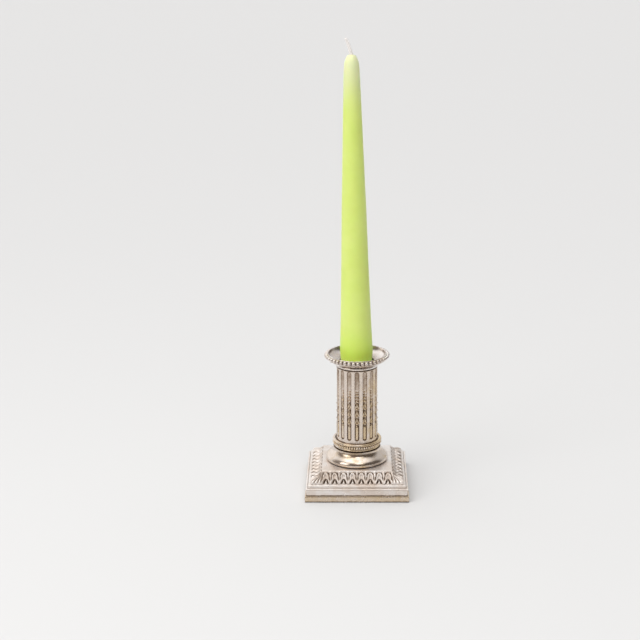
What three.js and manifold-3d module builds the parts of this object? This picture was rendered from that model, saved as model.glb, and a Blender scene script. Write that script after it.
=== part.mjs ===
// A small silver-plated column candlestick with a lift-out nozzle and a taper candle.
// Millimetres, +Z up, origin at the centre of the base where it rests, front towards -Y.
import * as THREE from "three";
import { mergeVertices } from "three/addons/utils/BufferGeometryUtils.js";
import Module from "manifold-3d";

const wasm = await Module();
wasm.setup();

// ---- driving dimensions ----
const fitGap = 0.3; // between pieces that touch when the stick is screwed together
const sheet = 1.1; // stamped metal of the base and the foot
const roundSides = 36;

const base = { half: 35.1, band: 36.2, rim: 35.7, plateau: 24.3, rimZ: 9.75, topZ: 19 };
const felt = { half: 33.7, thick: 1.2 };
const cover = { half: 33.7, thick: 0.9 };
const leaf = { pitch: 6.2, perSide: 7, width: 4.9, proud: 0.45 };
const rod = { radius: 2.5, foot: 3.0, top: 46 };
const foot = { radius: 22.15, neck: 16.7, height: 9.9 };
const ring = {
  radius: 17.5, bottomZ: 29.5, topZ: 35.2, seatZ: 34.1, beads: 60, beadRadius: 0.88, beadZ: 32.3,
};
const column = { radius: 14.4, bore: 12.5, footZ: 34.4, topZ: 88.4, flutes: 16, fluteWidth: 3.25 };
const flute = { bottomZ: 37.1, rodTopZ: 48.8, topZ: 88.0, depth: 1.1, grooveDepth: 0.7 };
const collar = { radius: 15.1, topZ: 91.3 };
const pan = { seatZ: 91.6, lipZ: 97.9, wall: 19.9, beads: 45, beadRadius: 1.45, beadRing: 21.6, beadZ: 96.3 };
const cup = { outer: 12.15, bore: 11.6, bottomZ: 66.5, floor: 0.8 };
const candle = {
  lean: 0.92, shift: -0.25, pivotZ: 88, buttZ: 73, topZ: 303.4, wickRadius: 1.35, wickRise: 11,
};

const plateau = base.topZ;
const footBase = plateau + fitGap;
const footTop = footBase + foot.height;
const rodHole = rod.radius + fitGap;

// ---- finishes ----
const finish = (color, roughness, metalness) =>
  new THREE.MeshStandardMaterial({ color, roughness, metalness });
const silver = finish(0xd3cabd, 0.24, 1);
const gildedWear = finish(0xcbb489, 0.28, 1);
const castIron = finish(0x3b3a38, 0.7, 0.6);
const steel = finish(0x8d8e90, 0.4, 1);
const baize = finish(0x2f4a36, 0.95, 0);
const wax = finish(0xbfe05a, 0.45, 0);
const cotton = finish(0xf0ebe3, 0.9, 0);

// ---- shape helpers ----

// A piece turned about Z. The outline lists [radius, height] up the outside and down the inside.
function turned(outline, sides = roundSides) {
  const points = outline.map(([radius, height]) => new THREE.Vector2(radius, height));
  return new THREE.LatheGeometry(points, sides);
}

// Closes an outline that runs round a hole.
const closed = (outline) => [...outline, outline[0]];

// Stands a lathe geometry up, from the lathe's Y axis to Z.
const upright = (geometry) => geometry.rotateX(Math.PI / 2);

// A square moulding is a lathe of four sides, so its outline lists [half width, height].
function squareMoulding(outline) {
  const diagonal = outline.map(([half, height]) => [half * Math.SQRT2, height]);
  return upright(turned(diagonal, 4)).rotateZ(Math.PI / 4);
}

// Moves each point of an unturned lathe geometry, given its angle, radius and height.
function pressed(geometry, press) {
  const position = geometry.attributes.position;
  for (let i = 0; i < position.count; i++) {
    const radius = Math.hypot(position.getX(i), position.getZ(i));
    const turn = Math.atan2(position.getX(i), position.getZ(i));
    const [newTurn, newRadius, newHeight] = press(turn, radius, position.getY(i));
    position.setXYZ(i, newRadius * Math.sin(newTurn), newHeight, newRadius * Math.cos(newTurn));
  }
  return geometry;
}

// A plate with straight sides between two heights.
function plate(shape, bottomZ, topZ) {
  const options = { depth: topZ - bottomZ, bevelEnabled: false, curveSegments: 12 };
  const geometry = new THREE.ExtrudeGeometry(shape, options);
  return geometry.translate(0, 0, bottomZ);
}

function squareShape(half) {
  const shape = new THREE.Shape();
  shape.moveTo(-half, -half).lineTo(half, -half).lineTo(half, half).lineTo(-half, half).closePath();
  return shape;
}

function roundHole(radius) {
  const hole = new THREE.Path();
  hole.absarc(0, 0, radius, 0, Math.PI * 2, true);
  return hole;
}

// A three.js geometry as a solid that can be cut and joined, and back again.
function solid(geometry) {
  const bare = geometry.clone();
  bare.deleteAttribute("normal");
  bare.deleteAttribute("uv");
  const merged = mergeVertices(bare, 1e-4);
  const vertProperties = merged.attributes.position.array;
  return new wasm.Manifold(new wasm.Mesh({ numProp: 3, vertProperties, triVerts: merged.index.array }));
}

function geometryOf(manifold) {
  const mesh = manifold.getMesh();
  const geometry = new THREE.BufferGeometry();
  geometry.setAttribute("position", new THREE.BufferAttribute(mesh.vertProperties, 3));
  geometry.setIndex(new THREE.BufferAttribute(mesh.triVerts, 1));
  geometry.computeVertexNormals();
  return geometry;
}

function drill(radius, bottomZ, topZ) {
  const cylinder = upright(new THREE.CylinderGeometry(radius, radius, topZ - bottomZ, 24));
  return solid(cylinder.translate(0, 0, (bottomZ + topZ) / 2));
}

function node(name, geometry, material) {
  const mesh = new THREE.Mesh(geometry, material);
  mesh.name = name;
  return mesh;
}

// ---- the base ----

// The ogee that carries the leaves, from its outer edge up to the plateau: hollow above, rounded below.
const ogee = [
  [32.3, 12.4], [31.8, 13.3], [30.8, 14.1], [29.2, 14.6], [27.6, 15.1], [26.1, 16], [25.1, 17.4], [24.8, 18.5],
];

// The plan of one leaf on the front side: pointed at its outer tip, narrow at its root.
function leafPrism(tip, root, width) {
  const length = tip - root;
  const side = (x) => [
    [x * 0.55, -tip + length * 0.28, x * 0.42, -tip + length * 0.6],
    [x * 0.36, -root - length * 0.12, x * 0.18, -root],
  ];
  const outline = new THREE.Shape();
  outline.moveTo(0, -tip);
  side(width).forEach((curve) => outline.quadraticCurveTo(...curve));
  outline.lineTo(-width * 0.18, -root);
  outline.quadraticCurveTo(-width * 0.36, -root - length * 0.12, -width * 0.42, -tip + length * 0.6);
  outline.quadraticCurveTo(-width * 0.55, -tip + length * 0.28, 0, -tip);
  const prism = new THREE.ExtrudeGeometry(outline, { depth: 10, bevelEnabled: false, curveSegments: 2 });
  return prism.translate(0, 0, 11);
}

// The border: a raised square band over the ogee, of which only the leaves are kept.
function leafBorder() {
  const raised = [0, 2, 3, 5, 6].map((i) => [ogee[i][0] + leaf.proud * 0.6, ogee[i][1] + leaf.proud * 0.8]);
  const sunk = [[24.9, 17.2], [27.1, 14.6], [31.5, 12]];
  const band = solid(squareMoulding(closed([...raised, ...sunk])));
  const tip = ogee[0][0] - 0.2;
  const root = ogee[6][0] - 0.1;
  const prisms = [];
  for (let side = 0; side < 4; side++) {
    const turn = (side * Math.PI) / 2;
    for (let i = 0; i < leaf.perSide; i++) {
      const along = (i - (leaf.perSide - 1) / 2) * leaf.pitch;
      prisms.push(leafPrism(tip, root, leaf.width).translate(along, 0, 0).rotateZ(turn));
    }
    const corner = leafPrism(tip * Math.SQRT2 - 0.4, root * Math.SQRT2 + 0.3, leaf.width);
    prisms.push(corner.rotateZ(turn + Math.PI / 4));
  }
  const tongues = prisms.map(solid).reduce((joined, prism) => joined.add(prism));
  return band.intersect(tongues);
}

function baseShell() {
  const outside = [
    [0, base.topZ - sheet], [base.plateau - 0.9, base.topZ - sheet], [base.plateau - 0.2, 16.6], [26.2, 14.2],
    [31.1, 11.2], [base.half - 1.7, 9.4], [base.half - sheet, 8.2], [base.half - sheet, 0.6], [base.half, 0.6],
    [base.half, 8.4], [base.rim - 0.1, 8.8], [base.rim, 9.3], [base.rim - 0.3, base.rimZ], [base.rim - 1.1, 9.95],
    [base.rim - 1.35, 9.8], [base.rim - 1.6, 10.1], [base.rim - 1.65, 11], [base.rim - 2.2, 11.65],
    [base.rim - 2.8, 11.9], ...ogee, [base.plateau + 0.3, 18.6], [base.plateau, base.topZ], [0, base.topZ],
  ];
  const moulding = solid(squareMoulding(outside)).add(leafBorder());
  const shell = moulding.subtract(drill(rodHole, base.topZ - 4, base.topZ + 1));
  return node("base_shell", geometryOf(shell), silver);
}

function plinthBand() {
  const inner = base.half + fitGap;
  const outline = [[inner, 0.3], [base.band - 0.15, 0.3], [base.band, 0.45], [base.band, 4.2],
    [base.band - 0.3, 4.5], [inner, 4.5]];
  return node("plinth_band", squareMoulding(closed(outline)), silver);
}

function baseWeight() {
  const bottomZ = 3.9;
  const recessZ = 7.9;
  const outline = [[0, bottomZ], [33.1, bottomZ], [33.1, 8.2], [30.6, 10], [26, 12.4], [0, 12.4]];
  const block = solid(squareMoulding(outline));
  const bored = block.subtract(drill(8, bottomZ - 1, recessZ)).subtract(drill(rodHole, bottomZ, 14));
  return node("base_weight", geometryOf(bored), castIron);
}

function baseCover() {
  const bottomZ = felt.thick + fitGap;
  return node("base_cover", plate(squareShape(cover.half), bottomZ, bottomZ + cover.thick), steel);
}

const feltPad = () => node("felt_pad", plate(squareShape(felt.half), 0, felt.thick), baize);

// ---- the tie rod that draws the stick together ----

const tieRod = () => node("tie_rod",
  upright(turned([[0, rod.foot], [rod.radius - 0.4, rod.foot], [rod.radius, rod.foot + 0.4],
    [rod.radius, rod.top - 0.4], [rod.radius - 0.4, rod.top], [0, rod.top]], 16)), steel);

function rodNut() {
  const hexagon = new THREE.Shape();
  for (let i = 0; i < 6; i++) {
    const corner = [4.7 * Math.cos((i * Math.PI) / 3), 4.7 * Math.sin((i * Math.PI) / 3)];
    if (i === 0) hexagon.moveTo(...corner);
    else hexagon.lineTo(...corner);
  }
  hexagon.closePath();
  hexagon.holes.push(roundHole(rodHole));
  return node("rod_nut", plate(hexagon, 3.1, 6.6), steel);
}

const rodWasher = () => node("rod_washer",
  upright(turned(closed([[rodHole, 6.9], [7.4, 6.9], [7.4, 7.6], [rodHole, 7.6]]), 24)), steel);

// ---- the round foot and the ring ----

function roundFoot() {
  const z = footBase;
  const outside = [
    [21.2, z], [21.95, z + 0.7], [foot.radius, z + 1.6], [21.85, z + 2.7], [21.15, z + 3.9], [20.1, z + 4.8],
    [19.9, z + 5], [19.8, z + 5.5], [19.4, z + 5.7], [18.1, z + 6.3], [17.3, z + 7.3], [16.9, z + 8.4],
    [foot.neck, footTop],
  ];
  const inside = [[rodHole, footTop], [rodHole, footTop - sheet], [15.4, footTop - sheet], [15.8, z + 7],
    [18.2, z + 4.6], [20.4, z + 2.6], [20.3, z]];
  return node("round_foot", upright(turned(closed([...outside, ...inside]))), silver);
}

function torusRing() {
  const groove = ring.radius - 2.2;
  const grooveHalf = ring.beadRadius + 0.2;
  const outline = [
    [13.2, ring.bottomZ], [16.2, ring.bottomZ], [16.8, ring.bottomZ + 0.7], [16.7, ring.beadZ - grooveHalf],
    [groove, ring.beadZ - grooveHalf], [groove, ring.beadZ + grooveHalf], [17.1, ring.beadZ + grooveHalf],
    [ring.radius, ring.beadZ + grooveHalf + 0.7], [17.2, ring.topZ - 0.4], [16.5, ring.topZ], [15.4, ring.topZ],
    [15.4, ring.seatZ], [13.2, ring.seatZ],
  ];
  return node("torus_ring", upright(turned(closed(outline))), gildedWear);
}

// A row of pearls as one closed ring: a torus whose section swells at each pearl and shrinks between them.
function beading(name, count, ringRadius, beadRadius, height, material) {
  const steps = 3;
  const section = Array.from({ length: 7 }, (_, i) => {
    const turn = (-i * Math.PI) / 3;
    return [ringRadius - beadRadius * Math.cos(turn), height + beadRadius * Math.sin(turn)];
  });
  const swell = [1, 0.68, 0.68];
  const pearls = pressed(turned(section, count * steps), (turn, radius, z) => {
    const step = Math.round((turn / (Math.PI * 2)) * count * steps + count * steps) % steps;
    return [turn, ringRadius + (radius - ringRadius) * swell[step], height + (z - height) * swell[step]];
  });
  return node(name, upright(pearls), material);
}

// ---- the fluted column ----

// Five columns of points to a flute: edge, quarter, middle, quarter, edge. Flat fillets lie between flutes.
function flutedColumn() {
  const roles = 5;
  const pitch = (Math.PI * 2) / column.flutes;
  const halfWidth = column.fluteWidth / 2;
  const roundEnd = [0.25, 0.8, halfWidth];
  const levels = [
    ...roundEnd.map((rise) => flute.bottomZ + rise), flute.rodTopZ, flute.rodTopZ + 0.5,
    ...roundEnd.map((drop) => flute.topZ - drop).reverse(),
  ];
  const outer = [[15, column.footZ], [14.85, 35.4], [14.55, 36.4], [column.radius, flute.bottomZ]]
    .concat(levels.map((z) => [column.radius, z]), [[column.radius, flute.topZ], [column.radius, column.topZ]]);
  const outline = closed([[column.bore, column.footZ], ...outer, [column.bore, column.topZ]]);
  const openness = (z) => {
    const end = Math.min(z - flute.bottomZ, flute.topZ - z);
    if (end <= 0) return 0.12;
    if (end >= halfWidth) return 1;
    return Math.max(0.2, Math.sqrt(1 - (1 - end / halfWidth) ** 2));
  };
  const shaft = pressed(turned(outline, column.flutes * roles), (turn, radius, z) => {
    const index = Math.round((turn / (Math.PI * 2)) * column.flutes * roles);
    const number = Math.round(index / roles);
    const role = index - number * roles; // -2 to 2, with 0 at the middle of the flute
    if (radius < column.bore + 0.1) return [turn, radius, z];
    const wide = openness(z);
    const place = (role / 2) * halfWidth * wide;
    const newTurn = number * pitch + place / column.radius;
    const inFlute = z > flute.bottomZ + 0.1 && z < flute.topZ - 0.1;
    if (!inFlute || Math.abs(role) === 2) return [newTurn, radius, z];
    const cabled = z <= flute.rodTopZ + 0.01;
    const depth = cabled ? flute.grooveDepth * Math.abs(role) : flute.depth * (role === 0 ? 1 : 0.75);
    return [newTurn, radius - depth * wide, z];
  });
  return node("fluted_column", upright(shaft), silver);
}

function columnPlug() {
  const bottomZ = column.footZ + 0.6;
  const outline = [[rodHole, bottomZ], [column.bore - fitGap, bottomZ], [column.bore - fitGap, bottomZ + 2.5],
    [5.5, bottomZ + 2.5], [5.5, bottomZ + 8], [rodHole, bottomZ + 8]];
  return node("column_plug", upright(turned(closed(outline), 32)), gildedWear);
}

function columnCollar() {
  const z = column.topZ + fitGap;
  const outline = [[column.bore, z], [14.6, z], [15, z + 0.5], [collar.radius, z + 1.3], [15, z + 2.1],
    [14.6, collar.topZ], [column.bore, collar.topZ]];
  return node("column_collar", upright(turned(closed(outline))), silver);
}

// ---- the lift-out nozzle ----

function dripPan() {
  const z = pan.seatZ;
  const outline = [
    [cup.bore, z], [14.7, z], [16.9, z + 0.6], [18.8, z + 1.5], [pan.wall - 0.1, z + 2.7], [pan.wall, z + 3.6],
    [pan.wall, pan.lipZ - 0.3], [pan.wall - 0.3, pan.lipZ], [pan.wall - 0.7, pan.lipZ - 0.1], [19, z + 4.4],
    [17.9, z + 2.9], [15.9, z + 1.8], [13.6, z + 1.1], [cup.bore, z + 0.9],
  ];
  return node("drip_pan", upright(turned(closed(outline))), silver);
}

function candleCup() {
  const topZ = pan.seatZ - fitGap;
  const outline = [[cup.bore, cup.bottomZ], [cup.outer - 0.3, cup.bottomZ], [cup.outer, cup.bottomZ + 0.5],
    [cup.outer, topZ], [cup.bore, topZ]];
  return node("candle_cup", upright(turned(closed(outline), 32)), gildedWear);
}

function cupFloor() {
  const radius = cup.bore - fitGap;
  const topZ = cup.bottomZ + cup.floor;
  const outline = [[0, cup.bottomZ], [radius, cup.bottomZ], [radius, topZ], [0, topZ]];
  return node("cup_floor", upright(turned(outline, 32)), gildedWear);
}

// ---- the candle, in a frame of its own: up its axis from the butt ----

const candleLength = candle.topZ - candle.buttZ;
const wickBore = candle.wickRadius + fitGap;

function candleBody() {
  const outside = [
    [9.8, 0], [10.6, 1], [10.8, 8], [11.05, 19.3], [11.4, 27], [10.7, 46], [9.6, 79], [8.6, 121], [7.5, 156],
    [6.4, 190], [5.65, 213], [5.15, candleLength - 6.5], [4.6, candleLength - 3.4], [3.5, candleLength - 1.4],
    [2.3, candleLength - 0.2],
  ];
  const outline = [...outside, [wickBore, candleLength], [wickBore, 0]];
  return node("candle_body", upright(turned(closed(outline), 36)), wax);
}

// The wick runs up the middle of the wax, and what stands above it droops to the left.
function candleWick() {
  const rises = [0, 2, 4, 6, 8, candle.wickRise].map((rise) => [candle.wickRadius, candleLength + rise]);
  const outline = [[0, 1], [candle.wickRadius, 1], ...rises, [0, candleLength + candle.wickRise]];
  const geometry = upright(turned(outline, 12));
  const position = geometry.attributes.position;
  for (let i = 0; i < position.count; i++) {
    const rise = Math.max(0, position.getZ(i) - candleLength);
    position.setX(i, position.getX(i) - 0.22 * rise - 0.011 * rise * rise);
  }
  return node("candle_wick", geometry, cotton);
}

// ---- the whole candlestick ----

const stand = new THREE.Group();
stand.add(baseShell(), plinthBand(), baseWeight(), baseCover(), feltPad(), tieRod(), rodNut(), rodWasher(),
  roundFoot(), torusRing(), flutedColumn(), columnPlug(), columnCollar(),
  beading("ring_beading", ring.beads, ring.radius - 1, ring.beadRadius, ring.beadZ, gildedWear));

const nozzle = new THREE.Group();
nozzle.add(dripPan(), candleCup(), cupFloor(),
  beading("pan_beading", pan.beads, pan.beadRing, pan.beadRadius, pan.beadZ, silver));

const taper = new THREE.Group();
const axis = new THREE.Group();
axis.add(candleBody(), candleWick());
axis.position.z = candle.buttZ - candle.pivotZ;
taper.add(axis);
taper.position.set(candle.shift, 0, candle.pivotZ);
taper.rotation.y = -THREE.MathUtils.degToRad(candle.lean);

const candlestick = new THREE.Group();
candlestick.add(stand, nozzle, taper);

export default candlestick;
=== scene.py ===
import math
import bpy
import numpy as np
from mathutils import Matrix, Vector


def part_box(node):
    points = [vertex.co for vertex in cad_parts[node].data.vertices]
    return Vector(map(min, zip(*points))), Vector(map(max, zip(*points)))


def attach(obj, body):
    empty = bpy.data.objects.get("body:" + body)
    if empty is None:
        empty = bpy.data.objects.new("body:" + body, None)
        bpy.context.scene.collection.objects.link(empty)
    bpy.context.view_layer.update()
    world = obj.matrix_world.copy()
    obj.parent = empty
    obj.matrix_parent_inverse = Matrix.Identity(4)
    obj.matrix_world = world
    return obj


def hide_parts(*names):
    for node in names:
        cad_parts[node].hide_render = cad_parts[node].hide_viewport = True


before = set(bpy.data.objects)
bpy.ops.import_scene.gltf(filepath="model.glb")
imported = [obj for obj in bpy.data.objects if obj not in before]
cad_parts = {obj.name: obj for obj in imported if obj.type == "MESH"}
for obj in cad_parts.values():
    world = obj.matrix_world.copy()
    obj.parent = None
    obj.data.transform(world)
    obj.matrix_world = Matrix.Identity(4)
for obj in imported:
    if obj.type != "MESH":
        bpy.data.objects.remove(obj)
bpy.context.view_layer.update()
mm = 0.001               # outlines below are in millimetres, the scene is in metres
frontHeading = -math.pi / 2
mitreHeading = -math.pi / 4


# where the frame says each piece is, in millimetres
def bottomOf(node):
    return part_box(node)[0].z / mm


def topOf(node):
    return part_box(node)[1].z / mm


def reachOf(node):
    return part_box(node)[1].x / mm


# drawing and spinning, as by hand
def deselectAll():
    if bpy.context.object and bpy.context.object.mode != "OBJECT":
        bpy.ops.object.mode_set(mode="OBJECT")
    bpy.ops.object.select_all(action="DESELECT")


def pickOnly(piece):
    deselectAll()
    piece.select_set(True)
    bpy.context.view_layer.objects.active = piece


def arc(middle, radius, fromAngle, toAngle, steps=8):
    angles = [math.radians(fromAngle + (toAngle - fromAngle) * i / steps) for i in range(steps + 1)]
    return [(middle[0] + radius * math.cos(a), middle[1] + radius * math.sin(a)) for a in angles]


# a smooth curve through a few points, its ends included
def curveThrough(points, steps=5):
    ends = [points[0], *points, points[-1]]
    curve = []
    for i in range(len(points) - 1):
        before, start, stop, after = [np.array(p, float) for p in ends[i:i + 4]]
        for k in range(steps):
            t = k / steps
            squared = 2 * before - 5 * start + 4 * stop - after
            cubed = 3 * start - before - 3 * stop + after
            bend = squared * t * t + cubed * t ** 3
            curve.append(tuple(0.5 * (2 * start + (stop - before) * t + bend)))
    return curve + [tuple(points[-1])]


# one vertex, walked along the outline by extruding it
def drawOutline(name, outline, heading=frontHeading):
    deselectAll()
    bpy.ops.mesh.primitive_plane_add(size=mm)
    piece = bpy.context.object
    piece.name = name
    piece.data.name = name
    stretch = math.sqrt(2) if heading == mitreHeading else 1
    across = Vector((math.cos(heading), math.sin(heading), 0)) * stretch * mm
    places = [across * out + Vector((0, 0, up * mm)) for out, up in outline]
    bpy.ops.object.mode_set(mode="EDIT")
    bpy.ops.mesh.select_all(action="SELECT")
    bpy.ops.mesh.merge(type="CENTER")
    bpy.ops.transform.translate(value=places[0])
    for here, there in zip(places, places[1:]):
        bpy.ops.mesh.extrude_region_move(TRANSFORM_OT_translate={"value": there - here})
    bpy.ops.mesh.select_all(action="SELECT")
    bpy.ops.mesh.remove_doubles(threshold=0.002 * mm)
    return piece


# long straight stretches get points to carry the painted shade and dirt laid on them
def divideLongEdges(piece, longest=1.2):
    bpy.context.tool_settings.mesh_select_mode = (False, True, False)
    while True:
        bpy.ops.object.mode_set(mode="OBJECT")
        places = vertexPlaces(piece)
        ends = np.array([edge.vertices[:] for edge in piece.data.edges])
        tooLong = np.linalg.norm(places[ends[:, 0]] - places[ends[:, 1]], axis=1) > longest * mm
        piece.data.vertices.foreach_set("select", np.zeros(len(places), bool))
        piece.data.edges.foreach_set("select", tooLong)
        bpy.ops.object.mode_set(mode="EDIT")
        if not tooLong.any():
            break
        bpy.ops.mesh.subdivide(number_cuts=1)
    bpy.ops.mesh.select_mode(type="VERT")


def spinRound(steps):
    bpy.ops.mesh.select_all(action="SELECT")
    bpy.ops.mesh.spin(steps=steps, angle=2 * math.pi, center=(0, 0, 0), axis=(0, 0, 1))
    bpy.ops.mesh.select_all(action="SELECT")
    bpy.ops.mesh.remove_doubles(threshold=0.002 * mm)
    bpy.ops.mesh.normals_make_consistent(inside=False)


def smoothShade(piece, angle=35):
    pickOnly(piece)
    bpy.ops.object.shade_smooth_by_angle(angle=math.radians(angle))


# a piece turned about the column's axis; corners are rounded a little before the spin
def turnPiece(name, outline, corner=0.12, steps=128):
    piece = drawOutline(name, outline)
    if corner:
        bpy.ops.mesh.bevel(offset=corner * mm, affect="VERTICES", segments=2, clamp_overlap=True)
    divideLongEdges(piece)
    spinRound(steps)
    smoothShade(piece, 50)
    return piece


# a square moulding: the outline stands on the mitre and is spun in four steps
def squarePiece(name, outline, corner=0.12, mitre=0.25):
    piece = drawOutline(name, outline, mitreHeading)
    if corner:
        bpy.ops.mesh.bevel(offset=corner * mm, affect="VERTICES", segments=3, clamp_overlap=True)
    divideLongEdges(piece)
    spinRound(4)
    bpy.ops.object.mode_set(mode="OBJECT")
    bpy.context.tool_settings.mesh_select_mode = (False, True, False)
    places = vertexPlaces(piece)
    onMitre = np.abs(np.abs(places[:, 0]) - np.abs(places[:, 1])) < 0.01 * mm
    outside = np.abs(places[:, 0]) > 20 * mm
    piece.data.vertices.foreach_set("select", np.zeros(len(places), bool))
    for edge in piece.data.edges:
        a, b = edge.vertices
        edge.select = bool(onMitre[a] and onMitre[b] and outside[a] and outside[b]
                           and (places[a] * places[b])[:2].min() > 0)
    bpy.ops.object.mode_set(mode="EDIT")
    bpy.ops.mesh.bevel(offset=mitre * mm, segments=3, clamp_overlap=True)
    bpy.ops.mesh.select_mode(type="VERT")
    bpy.ops.mesh.select_all(action="SELECT")
    bpy.ops.mesh.normals_make_consistent(inside=False)
    smoothShade(piece, 35)
    return piece


def vertexPlaces(piece):
    places = np.zeros(len(piece.data.vertices) * 3)
    piece.data.vertices.foreach_get("co", places)
    return places.reshape(-1, 3)


def moveVertices(piece, places):
    piece.data.vertices.foreach_set("co", places.ravel())
    piece.data.update()


def joinAll(name, parts):
    pickOnly(parts[0])
    for part in parts:
        part.select_set(True)
    if len(parts) > 1:
        bpy.ops.object.join()
    piece = bpy.context.object
    piece.name = name
    piece.data.name = name
    return piece


# shade and dirt: an attribute painted dark where shade falls in creases, gaps and undersides, and where
# polish can't reach
def paintShadeAndDirt(piece, amount):
    layer = piece.data.attributes.get("shadeAndDirt") or piece.data.attributes.new("shadeAndDirt", "FLOAT", "POINT")
    layer.data.foreach_set("value", np.clip(amount, 0, 1).astype(np.float32))


# painted shade along creases; creases are (distance out, height, reach) in millimetres
def shadeAndDirtInCreases(piece, creases, square=False):
    places = vertexPlaces(piece) / mm
    out = np.abs(places[:, :2]).max(axis=1) if square else np.hypot(places[:, 0], places[:, 1])
    amount = np.zeros(len(places))
    for creaseOut, creaseUp, reach in creases:
        gap = (out - creaseOut) ** 2 + (places[:, 2] - creaseUp) ** 2
        amount = np.maximum(amount, np.exp(-gap / reach ** 2))
    paintShadeAndDirt(piece, amount)


# materials
def newMaterial(name):
    material = bpy.data.materials.new(name)
    material.use_nodes = True
    tree = material.node_tree
    shader = tree.nodes["Principled BSDF"]
    return material, tree, shader


def addNode(tree, kind, settings=None, inputs=None):
    node = tree.nodes.new(kind)
    for key, value in (settings or {}).items():
        setattr(node, key, value)
    for key, value in (inputs or {}).items():
        if isinstance(value, bpy.types.NodeSocket):
            tree.links.new(value, node.inputs[key])
        else:
            node.inputs[key].default_value = value
    return node


def noise(tree, place, scale, detail=4, rough=0.55):
    node = addNode(tree, "ShaderNodeTexNoise", inputs={
        "Vector": place, "Scale": scale, "Detail": detail, "Roughness": rough})
    return node.outputs["Fac"]


def spread(tree, value, fromLow, fromHigh, toLow=0.0, toHigh=1.0):
    node = addNode(tree, "ShaderNodeMapRange", {"interpolation_type": "SMOOTHSTEP"}, {
        "Value": value, "From Min": fromLow, "From Max": fromHigh, "To Min": toLow, "To Max": toHigh})
    return node.outputs["Result"]


def sums(tree, kind, first, second):
    return addNode(tree, "ShaderNodeMath", {"operation": kind}, {0: first, 1: second}).outputs[0]


def blendColour(tree, amount, first, second):
    node = addNode(tree, "ShaderNodeMix", {"data_type": "RGBA"})
    for key, value in ((0, amount), (6, first), (7, second)):
        if isinstance(value, bpy.types.NodeSocket):
            tree.links.new(value, node.inputs[key])
        else:
            node.inputs[key].default_value = value
    return node.outputs[2]


silverLook = {
    "clean": (0.84, 0.795, 0.765, 1),
    "warm": (0.74, 0.65, 0.58, 1),
    "gilt": (0.68, 0.53, 0.34, 1),
    "patina": (0.36, 0.27, 0.20, 1),
    # the darkest tone, for painted shade deep in creases and gaps and for dirt
    "shadeAndDirt": (0.06, 0.036, 0.022, 1),
    "cloudScale": 75,       # noise scales, broad to fine
    "patchScale": 330,
    "pitScale": 1500,
}


# silver plate: clean to warm in broad clouds, yellow where it is rubbed through, brown patina and then dark
# painted shade in the creases, following the shadeAndDirt attribute
# gilt and rough are ranges, sideGilt adds yellow towards the right, age moves the clouds from clean towards
# warm, and bright is how metallic the clean silver is
def silverPlate(name, gilt, rough=(0.16, 0.34), sideGilt=0.0, age=0.0, bright=1.0):
    material, tree, shader = newMaterial(name)
    place = addNode(tree, "ShaderNodeTexCoord").outputs["Object"]
    broad = noise(tree, place, silverLook["cloudScale"], 3)
    middle = noise(tree, place, silverLook["patchScale"], 5, 0.6)
    fine = noise(tree, place, silverLook["pitScale"], 4, 0.65)
    warmth = spread(tree, broad, 0.36 - age, 0.66 - age)
    tint = blendColour(tree, warmth, silverLook["clean"], silverLook["warm"])
    patches = sums(tree, "ADD", sums(tree, "MULTIPLY", broad, 0.5), sums(tree, "MULTIPLY", middle, 0.5))
    if sideGilt:
        sideways = addNode(tree, "ShaderNodeSeparateXYZ", inputs={"Vector": place}).outputs["X"]
        patches = sums(tree, "ADD", patches, sums(tree, "MULTIPLY", sideways, sideGilt))
    yellow = spread(tree, patches, gilt[0], gilt[1])
    tint = blendColour(tree, yellow, tint, silverLook["gilt"])
    shadeAndDirt = addNode(tree, "ShaderNodeAttribute", {"attribute_name": "shadeAndDirt"}).outputs["Fac"]
    speckle = sums(tree, "MULTIPLY", sums(tree, "SUBTRACT", middle, 0.5), 0.9)
    # brown patina where the shadeAndDirt attribute rises, then the dark tone where painted shade lies
    # deepest, with random dirt specks
    dull = spread(tree, sums(tree, "ADD", shadeAndDirt, sums(tree, "MULTIPLY", speckle, 0.6)), 0.04, 0.5)
    deepShadeAndDirt = spread(tree, sums(tree, "ADD", shadeAndDirt, speckle), 0.35, 0.88)
    tint = blendColour(tree, dull, tint, silverLook["patina"])
    tint = blendColour(tree, deepShadeAndDirt, tint, silverLook["shadeAndDirt"])
    tree.links.new(tint, shader.inputs["Base Color"])
    shine = spread(tree, middle, 0.3, 0.75, rough[0], rough[1])
    matt = sums(tree, "ADD", shine, sums(tree, "MULTIPLY", deepShadeAndDirt, 0.35))
    tree.links.new(matt, shader.inputs["Roughness"])
    metal = spread(tree, deepShadeAndDirt, 0.2, 1.0, bright, 0.35)
    tree.links.new(metal, shader.inputs["Metallic"])
    dents = addNode(tree, "ShaderNodeBump", inputs={"Strength": 0.35, "Distance": 0.25 * mm, "Height": broad})
    pits = addNode(tree, "ShaderNodeBump", inputs={
        "Strength": 0.16, "Distance": 0.05 * mm, "Height": fine, "Normal": dents.outputs["Normal"]})
    tree.links.new(pits.outputs["Normal"], shader.inputs["Normal"])
    return material


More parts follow.
